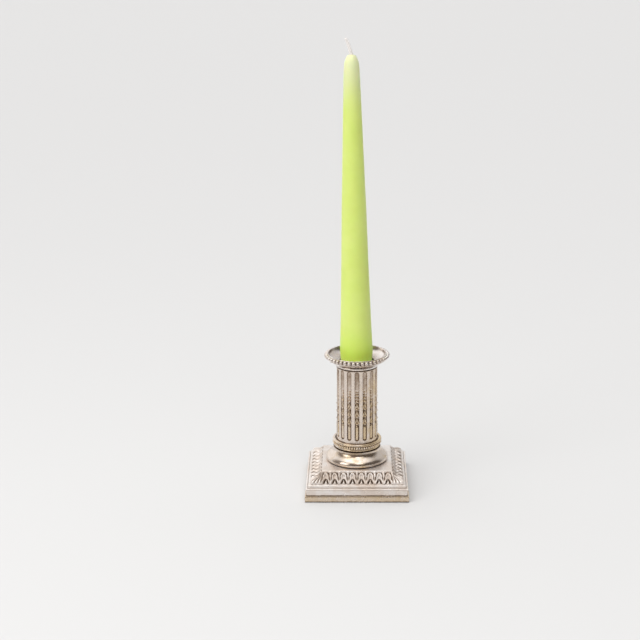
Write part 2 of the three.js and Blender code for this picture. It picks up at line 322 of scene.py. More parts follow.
silver = silverPlate("silverPlate", gilt=(0.66, 0.85))
baseSilver = silverPlate("baseSilver", gilt=(0.62, 0.85), rough=(0.26, 0.44), bright=0.78)
borderSilver = silverPlate("borderSilver", gilt=(0.66, 0.85), rough=(0.30, 0.46), bright=0.62)
footSilver = silverPlate("footSilver", gilt=(0.44, 0.72), rough=(0.17, 0.30), age=0.32)
columnSilver = silverPlate("columnSilver", gilt=(0.48, 0.80), sideGilt=9.0, age=0.25, bright=0.86)
wornSilver = silverPlate("wornSilver", gilt=(0.28, 0.60), sideGilt=6.0, age=0.2, bright=0.93)
beadGilt = silverPlate("beadGilt", gilt=(0.16, 0.66), rough=(0.26, 0.42), bright=0.2)
plinthSilver = silverPlate("plinthSilver", gilt=(0.12, 0.85), rough=(0.24, 0.38), age=0.5)

waxLook = {
    "fresh": (0.65, 0.77, 0.20, 1),
    "deep": (0.61, 0.74, 0.16, 1),
    "pale": (0.72, 0.76, 0.45, 1),
    "foot": (0.575, 0.76, 0.10, 1),      # clearer and greener where it nears the pan
    "paleDepth": 42,        # millimetres below the top
    "footRise": 26,         # millimetres above the pan
}


def greenWax():
    material, tree, shader = newMaterial("greenWax")
    place = addNode(tree, "ShaderNodeTexCoord").outputs["Object"]
    height = addNode(tree, "ShaderNodeSeparateXYZ", inputs={"Vector": place}).outputs["Z"]
    clouds = noise(tree, place, 45, 3)
    tint = blendColour(tree, spread(tree, clouds, 0.3, 0.7), waxLook["deep"], waxLook["fresh"])
    top = topOf("candle_body") * mm
    towardsTop = spread(tree, height, top - waxLook["paleDepth"] * mm, top)
    tint = blendColour(tree, towardsTop, tint, waxLook["pale"])
    pan = topOf("drip_pan") * mm
    abovePan = spread(tree, height, pan, pan + waxLook["footRise"] * mm)
    tint = blendColour(tree, abovePan, waxLook["foot"], tint)
    tree.links.new(tint, shader.inputs["Base Color"])
    shader.inputs["Subsurface Weight"].default_value = 0.35
    shader.inputs["Specular IOR Level"].default_value = 0.75
    shader.inputs["Subsurface Radius"].default_value = (0.5, 0.8, 0.15)
    shader.inputs["Subsurface Scale"].default_value = 4 * mm
    sheen = spread(tree, noise(tree, place, 260, 3), 0.3, 0.7, 0.38, 0.52)
    tree.links.new(sheen, shader.inputs["Roughness"])
    skin = addNode(tree, "ShaderNodeBump", inputs={
        "Strength": 0.2, "Distance": 0.12 * mm, "Height": noise(tree, place, 160, 4)})
    tree.links.new(skin.outputs["Normal"], shader.inputs["Normal"])
    return material


def plainMaterial(name, light, dark, scale, roughness, metallic, bump):
    material, tree, shader = newMaterial(name)
    place = addNode(tree, "ShaderNodeTexCoord").outputs["Object"]
    grain = noise(tree, place, scale, 6, 0.65)
    tint = blendColour(tree, spread(tree, grain, 0.3, 0.7), light, dark)
    tree.links.new(tint, shader.inputs["Base Color"])
    matt = spread(tree, grain, 0.2, 0.8, roughness[0], roughness[1])
    tree.links.new(matt, shader.inputs["Roughness"])
    shader.inputs["Metallic"].default_value = metallic
    relief = addNode(tree, "ShaderNodeBump", inputs={
        "Strength": 0.5, "Distance": bump * mm, "Height": grain})
    tree.links.new(relief.outputs["Normal"], shader.inputs["Normal"])
    return material


wax = greenWax()
cotton = plainMaterial("cotton", light=(0.90, 0.875, 0.86, 1), dark=(0.72, 0.69, 0.67, 1), scale=2500,
                       roughness=(0.8, 0.95), metallic=0, bump=0.1)
baize = plainMaterial("baize", light=(0.03, 0.075, 0.045, 1), dark=(0.015, 0.045, 0.025, 1), scale=1800,
                      roughness=(0.9, 1.0), metallic=0, bump=0.2)
steel = plainMaterial("steel", light=(0.42, 0.43, 0.44, 1), dark=(0.3, 0.3, 0.31, 1), scale=500,
                      roughness=(0.3, 0.5), metallic=1, bump=0.03)
iron = plainMaterial("castIron", light=(0.07, 0.065, 0.06, 1), dark=(0.03, 0.028, 0.025, 1), scale=700,
                     roughness=(0.55, 0.8), metallic=0.7, bump=0.3)


def handOver(piece, body, slot, material, *nodes):
    piece.data.materials.clear()
    piece.data.materials.append(material)
    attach(piece, body)
    if nodes:
        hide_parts(*nodes)


print("materials ready")

# square base
base = {
    "rim": reachOf("base_shell"),
    "wallIn": 0.6,          # how far the wall stands inside the rim
    "topZ": topOf("base_shell"),
    "plateau": 24.3,
    "lipZ": 0.6,
    "wall": 1.1,
}


def makeBase():
    rim, top, plateau = base["rim"], base["topZ"], base["plateau"]
    wall = rim - base["wallIn"]
    under = wall - base["wall"]
    outline = [
        (0, top), (plateau - 6, top), (plateau, top - 0.05), (plateau + 0.35, top - 0.4),
        (plateau + 0.3, top - 1.1), (plateau - 0.3, top - 2.2), (rim - 4.7, 11.2), (rim - 3.35, 11.9),
    ]
    outline += arc((rim - 2.8, 10.65), 1.1, 95, -15, 6)
    outline += [(rim - 1.65, 9.95), (rim - 1.35, 9.75)]
    outline += arc((rim - 0.7, 9.2), 0.68, 125, -35, 6)
    outline += [(wall, 8.45), (wall, base["lipZ"]), (under, base["lipZ"]), (under, 8.2), (rim - 2.5, 9.2),
                (rim - 5, 9.9), (plateau - 0.9, top - 2.6), (plateau - 1.3, top - 1.1), (0, top - 1.1)]
    piece = squarePiece("base_moulding", outline, corner=0.1)
    # painted shade along the creases between the mouldings and where the plinth band meets the wall
    shadeAndDirtInCreases(piece, [(rim - 1.45, 9.7, 0.2), (rim - 3.3, 12.2, 0.25), (wall, 4.7, 0.25)], square=True)
    handOver(piece, "stand", "silver_plate", baseSilver, "base_shell")


def makePlinthBand():
    low, high = bottomOf("plinth_band"), topOf("plinth_band")
    out = reachOf("plinth_band")
    outline = [(out - 0.85, low), (out - 0.1, low), (out, low + 0.2), (out, high - 0.5), (out - 0.25, high),
               (out - 0.85, high), (out - 0.85, low)]
    piece = squarePiece("plinth_moulding", outline, corner=0.12, mitre=0.35)
    # painted shade along the band's foot
    shadeAndDirtInCreases(piece, [(out, low, 0.4)], square=True)
    handOver(piece, "stand", "silver_plate", plinthSilver, "plinth_band")


# the border of leaves: arches between darts, sunk and raised on a fine grid that follows the ogee
leafBorder = {
    "pitch": 6.2,
    "lastArch": 4,          # arches end this many pitches from the middle, where the corner leaf starts
    "lobes": 3,             # of the corner leaf, on each side of its mitre
    "columns": 300,
    "rows": 46,
    "fade": 0.45,           # the relief dies away over this at the edges of the border
    "depth": 1.6,           # how far the border's skirt is drawn down behind it
    "ogee": [(32.4, 12.2), (32.0, 13.2), (31.0, 14.1), (29.4, 14.65), (27.8, 15.15), (26.4, 16.0),
             (25.3, 17.3), (24.75, 18.55)],
}
# one leaf: widths and depths in millimetres, heights as shares of the border's own
leaf = {
    "half": 1.55,           # of the raised arch, at its spring
    "splay": 1.35,          # how much wider its feet stand
    "spring": 0.48,
    "crown": 0.40,          # from the spring to the top of the arch
    "bandWidth": 0.52,
    "bandHeight": 0.62,
    "grooveHalf": 2.5,      # of the sunk line round the arch
    "grooveSpring": 0.45,
    "grooveWidth": 0.36,
    "grooveDepth": 0.55,
    "wedgeWidth": 0.62,     # of the tip that shows between two leaves
    "wedgeHeight": 0.42,
    "veinWidth": 0.14,
    "veinDepth": 0.2,
    "eyeHalf": 0.72,        # of the hollow inside the arch
    "eyeUp": 0.63,
    "eyeTall": 0.17,
    "eyeDepth": 0.75,
    "dartUp": 0.45,         # where the two cuts of the dart meet
    "dartWidth": 0.46,
    "dartDepth": 1.0,
    "stemWidth": 0.26,
    "stemDepth": 0.5,
}


def bell(distance, width):
    return np.exp(-(distance / width) ** 2)


# relief and painted shade of one leaf: x runs from the middle of its arch to half a pitch, up from the outer
# edge
def leafRelief(x, up, tall):
    between = x - leafBorder["pitch"] / 2
    spring = leaf["spring"] * tall
    ring = np.abs(np.hypot(x / leaf["half"], (up - spring) / (leaf["crown"] * tall)) - 1) * leaf["half"]
    leg = leaf["half"] + leaf["splay"] * np.clip((spring - up) / spring, 0, 1) ** 1.4
    band = bell(np.where(up > spring, ring, np.abs(x - leg) * 0.9), leaf["bandWidth"]) * leaf["bandHeight"]
    grooveSpring = leaf["grooveSpring"] * tall
    grooveRing = np.abs(np.hypot(x / 2.55, (up - grooveSpring) / (0.56 * tall)) - 1) * 2.4
    grooveLeg = np.abs(x - leaf["grooveHalf"] - 0.1 * (grooveSpring - up))
    fromGroove = np.where(up > grooveSpring, grooveRing, grooveLeg)
    groove = bell(fromGroove, leaf["grooveWidth"]) * leaf["grooveDepth"]
    groove = groove * np.clip((up / tall - 0.22) * 6, 0, 1)
    wedge = bell(between, leaf["wedgeWidth"]) * leaf["wedgeHeight"] * np.clip((up / tall - 0.35) * 3, 0, 1)
    vein = bell(between, leaf["veinWidth"]) * leaf["veinDepth"]
    eyeAcross = x / leaf["eyeHalf"]
    eyeAlong = (up - leaf["eyeUp"] * tall) / (leaf["eyeTall"] * tall)
    eye = np.exp(-(eyeAcross ** 2 + eyeAlong ** 2)) * leaf["eyeDepth"]
    slant = np.abs(x * 6.0 + (up - leaf["dartUp"] * tall) * 2.1) / 6.4
    dart = bell(slant, leaf["dartWidth"]) * leaf["dartDepth"] * np.clip((spring - up) * 1.5, 0, 1)
    stem = bell(x, leaf["stemWidth"]) * leaf["stemDepth"] * bell(up - 0.47 * tall, 0.09 * tall)
    relief = band + wedge - groove - vein - eye - dart - stem
    # painted shade in the sunk cuts: dart, stem, eye and groove
    dark = np.clip(dart * 1.5 + stem * 1.3 + eye * 0.5 + groove * 1.5, 0, 1)
    return relief, dark


# the corner leaf lies on the mitre: past runs outwards from the last arch
def cornerRelief(past, up, tall, room):
    lobe = np.clip(past / room, 0, 1) * leafBorder["lobes"]
    fold = bell(lobe - np.round(lobe), 0.15)
    relief = 0.5 * np.abs(np.sin(lobe * math.pi)) ** 0.7 - 0.45 * fold - 0.5 * bell(past, 0.3)
    # painted shade along the folds between the corner leaf's lobes
    return relief, 0.9 * fold * np.clip(up / tall * 4, 0, 1)


# relief and painted shade of one side: along is measured from the middle of the side
def sideRelief(along, up, tall, half):
    pitch = leafBorder["pitch"]
    turns = np.abs(along) / pitch
    x = np.abs(turns - np.floor(turns) - 0.5) * pitch
    relief, dark = leafRelief(x, up, tall)
    lastArch = leafBorder["lastArch"] * pitch
    past = np.abs(along) - lastArch
    corner, cornerDark = cornerRelief(past, up, tall, np.maximum(half - lastArch, 0.3))
    relief = np.where(past > 0, corner, relief)
    dark = np.where(past > 0, cornerDark, dark)
    edge = np.clip(np.minimum(up, tall - up) / leafBorder["fade"], 0, 1)
    return relief * edge, dark * edge


def makeLeafBorder():
    curve = np.array(curveThrough(leafBorder["ogee"], 8))
    lengths = np.concatenate([[0], np.cumsum(np.hypot(*np.diff(curve, axis=0).T))])
    deselectAll()
    bpy.ops.mesh.primitive_grid_add(x_subdivisions=leafBorder["columns"],
                                    y_subdivisions=leafBorder["rows"], size=2)
    side = bpy.context.object
    grid = vertexPlaces(side)
    up = (grid[:, 1] + 1) / 2 * lengths[-1]
    half = np.interp(up, lengths, curve[:, 0])
    height = np.interp(up, lengths, curve[:, 1])
    slopeOut = np.gradient(curve[:, 0], lengths)
    slopeUp = np.gradient(curve[:, 1], lengths)
    normalOut = np.interp(up, lengths, slopeUp)
    normalUp = -np.interp(up, lengths, slopeOut)
    along = grid[:, 0] * half
    relief, dark = sideRelief(along, up, lengths[-1], half)
    out = half + relief * normalOut
    places = np.stack([grid[:, 0] * out, -out, height + relief * normalUp], axis=1) * mm
    moveVertices(side, places)
    # the painted shade of the cuts goes on as the shadeAndDirt attribute
    paintShadeAndDirt(side, dark)
    sides = [side]
    for i in range(1, 4):
        pickOnly(side)
        bpy.ops.object.duplicate()
        copy = bpy.context.object
        copy.rotation_euler.z = i * math.pi / 2
        bpy.ops.object.transform_apply(location=True, rotation=True, scale=True)
        sides.append(copy)
    piece = joinAll("leaf_border", sides)
    bpy.ops.object.mode_set(mode="EDIT")
    bpy.ops.mesh.select_all(action="SELECT")
    bpy.ops.mesh.remove_doubles(threshold=0.01 * mm)
    bpy.ops.mesh.select_all(action="DESELECT")
    bpy.ops.mesh.select_non_manifold()
    bpy.ops.mesh.extrude_region_move(TRANSFORM_OT_translate={"value": (0, 0, -leafBorder["depth"] * mm)})
    bpy.ops.mesh.bridge_edge_loops()
    bpy.ops.mesh.select_all(action="SELECT")
    bpy.ops.mesh.normals_make_consistent(inside=False)
    smoothShade(piece, 60)
    handOver(piece, "stand", "silver_plate", borderSilver)


makeBase()
makePlinthBand()
makeLeafBorder()
print("square base ready")

# round foot and beaded ring
foot = {
    "low": bottomOf("round_foot"),
    "high": topOf("round_foot"),
    "out": reachOf("round_foot"),
    "hole": 3,
}


def makeFoot():
    low, high, out, hole = foot["low"], foot["high"], foot["out"], foot["hole"]
    outline = curveThrough([(out - 1.1, low), (out - 0.25, low + 0.75), (out, low + 1.75),
                            (out - 0.3, low + 2.85), (out - 1.05, low + 3.95), (out - 2.1, low + 4.85),
                            (out - 3.3, low + 5.75), (out - 4.4, low + 6.85), (out - 5.1, low + 8.2),
                            (out - 5.45, high)])
    outline += [(hole, high), (hole, high - 1), (15.6, high - 1), (16, low + 6.6), (18.4, low + 4.4),
                (20.2, low + 2.6), (20.1, low), (out - 1.1, low)]
    piece = turnPiece("foot_turning", outline, corner=0)
    # painted shade where the foot meets the plateau and under the ring
    shadeAndDirtInCreases(piece, [(out - 1.2, low, 0.4), (16.6, high, 0.3)])
    handOver(piece, "stand", "silver_plate", footSilver, "round_foot")


ring = {
    "low": bottomOf("torus_ring"),
    "high": topOf("torus_ring"),
    "out": reachOf("torus_ring"),
    "hole": 13.2,
    "grooveIn": 1.5,        # the groove's floor, in from the widest roll
}


def makeRing():
    low, high, out = ring["low"], ring["high"], ring["out"]
    beadZ = (bottomOf("ring_beading") + topOf("ring_beading")) / 2
    groove = out - ring["grooveIn"]
    outline = [(ring["hole"], low), (out - 2.0, low)] + arc((out - 1.95, low + 0.85), 0.85, -80, 40, 6)
    outline += [(out - 1.35, beadZ - 0.95), (groove, beadZ - 0.8), (groove, beadZ + 0.8),
                (out - 1.35, beadZ + 0.95)]
    outline += arc((out - 1.05, high - 0.95), 0.95, -50, 95, 8)
    outline += [(15.5, high - 0.05), (15.4, high - 1.1), (ring["hole"], high - 1.1), (ring["hole"], low)]
    piece = turnPiece("ring_turning", outline, corner=0.06)
    # painted shade in the groove behind the beads, at the ring's top seat and along its underside
    shadeAndDirtInCreases(piece, [(groove, beadZ, 0.85), (15.4, high - 0.8, 0.5), (out - 2, low, 0.25)])
    handOver(piece, "stand", "worn_plate", wornSilver, "torus_ring")


# a row of pearls: one is modelled, then spun into copies; squeeze narrows each along the row
ringBeads = {"count": 60, "radius": 0.88, "squeeze": 0.74, "turn": 0}
panBeads = {"count": 45, "radius": 1.45, "squeeze": 0.96, "turn": math.radians(1.6)}


def makeBeading(name, node, beads):
    low, high = bottomOf(node), topOf(node)
    middle = (low + high) / 2
    radius, squeeze = beads["radius"], beads["squeeze"]
    rowRadius = reachOf(node) - radius
    deselectAll()
    bpy.ops.mesh.primitive_uv_sphere_add(segments=20, ring_count=14, radius=radius * mm,
                                         location=(0, -rowRadius * mm, middle * mm))
    row = bpy.context.object
    row.scale = (squeeze, 1, (high - low) / 2 / radius)
    bpy.ops.object.transform_apply(location=True, rotation=True, scale=True)
    places = vertexPlaces(row) / mm
    # painted shade on each bead's flanks where it meets its neighbours, on its back, and under it
    inward = (places[:, 1] + rowRadius) / radius
    sideways = np.abs(places[:, 0]) / (radius * squeeze)
    below = (middle - places[:, 2]) / radius
    shadedFlanksAndBack = np.maximum(bell(1 - sideways, 0.15), np.clip(inward - 0.25, 0, 1))
    paintShadeAndDirt(row, 0.75 * shadedFlanksAndBack + np.maximum(below - 0.8, 0))
    bpy.ops.object.mode_set(mode="EDIT")
    bpy.ops.mesh.select_all(action="SELECT")
    bpy.ops.mesh.spin(steps=beads["count"], angle=2 * math.pi, center=(0, 0, 0), axis=(0, 0, 1), dupli=True)
    bpy.ops.mesh.select_all(action="SELECT")
    bpy.ops.mesh.remove_doubles(threshold=0.002 * mm)
    bpy.ops.object.mode_set(mode="OBJECT")
    row.rotation_euler.z = beads["turn"]
    bpy.ops.object.transform_apply(location=True, rotation=True, scale=True)
    smoothShade(row, 60)
    row.name = name
    row.data.name = name
    return row


def makeRingBeads():
    row = makeBeading("ring_pearls", "ring_beading", ringBeads)
    handOver(row, "stand", "worn_plate", beadGilt, "ring_beading")


makeFoot()
makeRing()
makeRingBeads()
print("foot and ring ready")

# fluted column
column = {
    "low": bottomOf("fluted_column"),
    "high": topOf("fluted_column"),
    "out": reachOf("fluted_column") - 0.6,
    "bore": 12.5,
    "flutes": 16,
    "fluteHalf": 1.62,
    "depth": 1.15,
    "fluteLow": 37.0,
    "fluteHigh": 88.0,
    "rodTop": 48.8,
    "flareOut": 0.35,       # the wall widens by this at its foot
}
# places of the upright lines across one flute and its fillet, as shares of half the flute's width
fluteLines = [-1.36, -1.06, -1.0, -0.9, -0.68, -0.36, 0, 0.36, 0.68, 0.9, 1.0, 1.06, 1.36]


def columnOutline():
    low, high, out, bore = column["low"], column["high"], column["out"], column["bore"]
    fluteLow, fluteHigh = column["fluteLow"], column["fluteHigh"]
    # levels crowd together at the round ends of the flutes
    ends = [0.05, 0.12, 0.3, 0.55, 0.85, 1.2, column["fluteHalf"]]
    levels = [fluteLow - 0.05] + [fluteLow + rise for rise in ends]
    levels += list(np.linspace(fluteLow + 2.5, fluteHigh - 2.5, 30))
    levels += [fluteHigh - rise for rise in reversed(ends)] + [fluteHigh + 0.05]
    flare = out + column["flareOut"]
    outline = [(bore, low), (flare, low)]
    outline += curveThrough([(flare, low + 0.5), (out + 0.2, low + 1.3), (out + 0.05, low + 2.2)], 3)
    outline += [(out, z) for z in levels]
    return outline + [(out, high - 0.05), (out - 0.1, high), (bore, high), (bore, low)]


# painted shade in the flutes, along their edges and at their ends, most where the ornaments start, with
# painted shade at the foot of the wall and under the collar
def columnShadeAndDirt(height, share, inside, wallOnly):
    low, high = column["fluteLow"], column["fluteHigh"]
    corner = bell(np.abs(share) - 0.93, 0.17) * inside
    shade = 0.07 + 0.36 * bell(height - column["rodTop"], 13)
    ends = 0.3 * bell(height - low, 0.9) + 0.1 * bell(high - height, 0.9)
    shadeAndDirt = corner * shade + inside * (0.20 + ends)
    # painted shade inside the flutes, deeper towards their tops
    shadeAndDirt += inside * 0.16 * np.clip((height - 72) / 10, 0, 1)
    shadeAndDirt += inside * 0.08 * np.clip((height - 49) / 1.0, 0, 1) * np.clip((71 - height) / 6, 0, 1)
    shadeAndDirt += 0.9 * bell(height - column["low"], 0.8) * wallOnly
    shadeAndDirt += 0.5 * bell(height - column["high"], 0.5) * wallOnly
    return shadeAndDirt


def makeColumnWall():
    out, half = column["out"], column["fluteHalf"]
    lines = len(fluteLines) - 1
    piece = drawOutline("column_wall", columnOutline())
    spinRound(column["flutes"] * lines)
    bpy.ops.object.mode_set(mode="OBJECT")
    places = vertexPlaces(piece) / mm
    radius = np.hypot(places[:, 0], places[:, 1])
    turn = np.arctan2(places[:, 1], places[:, 0]) - frontHeading
    index = np.round(turn / (2 * math.pi) * column["flutes"] * lines).astype(int) + lines // 2
    flute = index // lines
    share = np.array(fluteLines)[index % lines]
    pitch = 2 * math.pi / column["flutes"]
    height = places[:, 2]
    fromEnd = np.minimum(height - column["fluteLow"], column["fluteHigh"] - height)
    narrow = np.clip(1 - fromEnd / half, 0, 1)
    width = np.where(fromEnd > 0, np.sqrt(np.maximum(1 - narrow ** 2, 0.02)), 0.14)
    wallOnly = radius > column["bore"] + 0.5
    # the fillet's own middle stays put, so the flute narrows and the fillet widens towards the ends
    onFlute = np.sign(share) * np.clip(np.abs(share), 0, 1.06) * half * width
    across = np.where(np.abs(share) > 1.3, np.sign(share) * pitch / 2 * out, onFlute)
    inside = (np.abs(share) <= 1.0) & (fromEnd > 0) & wallOnly
    hollow = np.sqrt(np.maximum(1 - np.abs(share) ** 2.2, 0))
    newRadius = radius - np.where(inside, column["depth"] * width * hollow, 0)
    turned = frontHeading + flute * pitch + across / out
    places[:, 0] = np.cos(turned) * newRadius
    places[:, 1] = np.sin(turned) * newRadius
    moveVertices(piece, places * mm)
    paintShadeAndDirt(piece, columnShadeAndDirt(height, share, inside, wallOnly))
    smoothShade(piece, 30)
    handOver(piece, "stand", "silver_plate", columnSilver, "fluted_column")


def addBall(radius, place, scale, lean=0.0, segments=16, rings=10):
    deselectAll()
    bpy.ops.mesh.primitive_uv_sphere_add(segments=segments, ring_count=rings, radius=radius * mm,
                                         location=[c * mm for c in place])
    ball = bpy.context.object
    ball.scale = scale
    ball.rotation_euler.y = lean
    bpy.ops.object.transform_apply(location=True, rotation=True, scale=True)
    return ball


# what fills one flute: a rod with a round foot, three drooping flowers and a string of pearls
ornament = {
    "rodHalf": 1.2,
    "rodLift": 0.45,        # above the foot of the flute
    "flowers": [49.1, 54.6, 60.1],
    "flowerTall": 5.5,
    "shrink": 0.04,         # each flower is this much smaller than the one below it
    "petalLean": math.radians(11),
    "pearls": [(66.3, 0.96), (68.8, 0.82), (71.0, 0.68), (72.9, 0.54)],     # height and radius
    "face": -(column["out"] - column["depth"] + 0.15),      # just proud of the floor of the front flute
}


# the upper half of a ball is drawn up into a rod with a flat end
def makeRod():
    half, face = ornament["rodHalf"], ornament["face"]
    low, high = column["fluteLow"] + ornament["rodLift"], column["rodTop"]
    rod = addBall(half, (0, face, low + half), (1, 1, 1), segments=24, rings=16)
    places = vertexPlaces(rod) / mm
    above = places[:, 2] > low + half + 0.01
    sideways = np.hypot(places[:, 0], places[:, 1] - face)
    wider = np.minimum(half / np.maximum(sideways, 0.01), 1.25)
    widen = np.where(above & (sideways > 0.01), wider, 1)
    places[:, 0] *= widen
    places[:, 1] = face + (places[:, 1] - face) * widen
    rise = (places[:, 2] - low - half) / half
    drawn = low + half + (high - low - half) * np.minimum(rise, 1) ** 0.35
    places[:, 2] = np.where(above, drawn, places[:, 2])
    moveVertices(rod, places * mm)
    # painted shade down the rod's sides and at its top end, under the flowers
    sides = 0.35 * bell(np.abs(places[:, 0]) - half, 0.3)
    paintShadeAndDirt(rod, 0.1 + sides + 0.45 * bell(places[:, 2] - high, 0.5))
    return rod


# two petals that meet at the top and flare at the mouth, and a bead between them
def makeFlower(low, size):
    tall, face = ornament["flowerTall"], ornament["face"]
    parts = []
    for hand in (-1, 1):
        centre = (hand * 0.8 * size, face - 0.1, low + tall * 0.48)
        petal = addBall(1, centre, (0.68 * size, 0.66, tall * 0.47), lean=-hand * ornament["petalLean"])
        places = vertexPlaces(petal) / mm
        tip = np.clip((places[:, 2] - low) / tall, 0, 1)
        places[:, 0] *= 1.12 - 0.55 * tip
        places[:, 1] = face + (places[:, 1] - face) * (1.25 - 0.5 * tip)
        moveVertices(petal, places * mm)
        # painted shade where the petals meet and along their outer edges
        edges = 0.45 * bell(places[:, 0], 0.24) + 0.3 * bell(np.abs(places[:, 0]) - 1.45, 0.2)
        paintShadeAndDirt(petal, edges)
        parts.append(petal)
    bead = addBall(0.86 * size, (0, face - 0.55, low + 0.55), (1, 1, 1))
    places = vertexPlaces(bead) / mm
    # painted shade under the bead
    paintShadeAndDirt(bead, 0.6 * np.clip((low + 0.35 - places[:, 2]) * 2, 0, 1))
    return parts + [bead]


def makePearl(height, radius):
    pearl = addBall(radius, (0, ornament["face"] - 0.2, height), (1, 1, 1))
    places = vertexPlaces(pearl) / mm
    # painted shade under the pearl
    paintShadeAndDirt(pearl, 0.6 * np.clip((height - radius * 0.45 - places[:, 2]) / radius * 2.5, 0, 1))
    return pearl


def makeOrnaments():
    parts = [makeRod()]
    for number, low in enumerate(ornament["flowers"]):
        parts += makeFlower(low, 1 - ornament["shrink"] * number)
    parts += [makePearl(height, radius) for height, radius in ornament["pearls"]]
    piece = joinAll("flute_ornaments", parts)
    bpy.ops.object.mode_set(mode="EDIT")
    bpy.ops.mesh.select_all(action="SELECT")
    bpy.ops.mesh.spin(steps=column["flutes"], angle=2 * math.pi, center=(0, 0, 0), axis=(0, 0, 1), dupli=True)
    bpy.ops.mesh.select_all(action="SELECT")
    bpy.ops.mesh.remove_doubles(threshold=0.002 * mm)
    bpy.ops.mesh.normals_make_consistent(inside=False)
    smoothShade(piece, 50)
    handOver(piece, "stand", "worn_plate", wornSilver)


def makeCollar():
    low, high, out = bottomOf("column_collar"), topOf("column_collar"), reachOf("column_collar")
    middle = (low + high) / 2
    outline = [(column["bore"], low), (out - 0.9, low)] + arc((out - 1.05, middle), 1.05, -65, 65, 8)
    outline += [(out - 0.9, high), (column["bore"], high), (column["bore"], low)]
    piece = turnPiece("collar_turning", outline, corner=0)
    # painted shade along the collar's upper and lower joints
    shadeAndDirtInCreases(piece, [(out - 0.9, low, 0.3), (out - 0.9, high, 0.3)])
    handOver(piece, "stand", "silver_plate", silver, "column_collar")


makeColumnWall()
makeOrnaments()
makeCollar()
print("column ready")

# the lift-out nozzle
nozzle = {
    "hole": 11.6,
    "cupOut": reachOf("candle_cup"),
    "wall": reachOf("pan_beading") - 2.1,       # the beads stand on this wall
    "rim": 0.35,
}


def makeDripPan():
    low, high = bottomOf("drip_pan"), topOf("drip_pan")
    out, rim, hole = nozzle["wall"], nozzle["rim"], nozzle["hole"]
    under = curveThrough([(14.9, low), (out - 3.8, low + 0.5), (out - 1.8, low + 1.3), (out - 0.5, low + 2.2),
                          (out, low + 2.7)], 4)
    dish = curveThrough([(out - 0.9, low + 5.3), (out - 1.6, low + 3.8), (out - 3.4, low + 2.3),
                         (out - 6.2, low + 1.35), (hole + 0.3, low + 1.0)], 4)
    outline = [(hole, low)] + under + arc((out + 0.05, low + 3.0), 0.3, -80, 80, 4)
    outline += [(out - 0.25, low + 3.5), (out - 0.1, high - rim)]
    outline += arc((out - 0.1 - rim, high - rim), rim, 0, 170, 6)
    outline += dish + [(hole, low + 0.8), (hole, low)]
    piece = turnPiece("pan_turning", outline, corner=0)
    # painted shade under the bead rim, where the pan sits on the collar, and round the hole
    shadeAndDirtInCreases(piece, [(out, low + 4.4, 1.0), (14.9, low, 0.6), (hole, low + 1, 0.6)])
    handOver(piece, "nozzle", "silver_plate", silver, "drip_pan")


def makePanBeads():
    row = makeBeading("pan_pearls", "pan_beading", panBeads)
    handOver(row, "nozzle", "silver_plate", silver, "pan_beading")


def makeCup():
    low, high = bottomOf("candle_cup"), topOf("candle_cup")
    out, bore = nozzle["cupOut"], nozzle["hole"]
    outline = [(0, low), (out - 0.4, low), (out - 0.1, low + 0.15), (out, low + 0.5), (out, high),
               (bore, high), (bore, low + 0.9), (0, low + 0.9)]
    piece = turnPiece("cup_turning", outline, corner=0.05, steps=96)
    # painted shade at the cup's rim and down on its floor
    shadeAndDirtInCreases(piece, [(out, high, 1.5), (bore, low + 0.9, 2)])
    handOver(piece, "nozzle", "worn_plate", wornSilver, "candle_cup", "cup_floor")


makeDripPan()
makeCup()
makePanBeads()
print("nozzle ready")

# candle and wick, modelled upright on their own axis and then leant over
candle = {
    "lean": math.radians(0.92),
    "shift": -0.25,
    "pivotZ": 88,
    "buttZ": 73,
    "length": 230.4,
    "profile": [(10.9, 8), (11.05, 19.3), (11.4, 27), (11.1, 36), (10.55, 50), (9.95, 70), (9.35, 90),
                (8.85, 110), (8.35, 129), (7.7, 148), (7.1, 167), (6.5, 186), (5.85, 205), (5.5, 216),
                (5.2, 222), (4.75, 225.5), (3.9, 228), (2.7, 229.8), (1.7, 230.4)],
}


def leanOver(piece):
    pickOnly(piece)
    piece.location = (candle["shift"] * mm, 0, candle["pivotZ"] * mm)
    piece.rotation_euler = (0, -candle["lean"], 0)
    bpy.ops.object.transform_apply(location=True, rotation=True, scale=True)


def makeCandle():
    start = candle["buttZ"] - candle["pivotZ"]
    outline = [(0, 0), (9.6, 0), (10.4, 0.6), (10.7, 2)] + curveThrough(candle["profile"], 4)
    outline += [(1.3, candle["length"] + 0.1), (0.9, candle["length"] - 0.4), (0, candle["length"] - 0.6)]
    piece = turnPiece("taper_candle", [(out, up + start) for out, up in outline], corner=0, steps=96)
    leanOver(piece)
    handOver(piece, "candle", "green_wax", wax, "candle_body")


wick = {
    "strand": 0.74,
    "strands": 3,
    "twist": 5.5,           # millimetres for one turn
    "rise": 10.6,
    "sunk": 2,              # how far the strands start below the top of the wax
    "orbit": 0.6,           # of each strand about the middle
    "lean": 0.22,
    "droop": 0.011,
    "steps": 40,
}


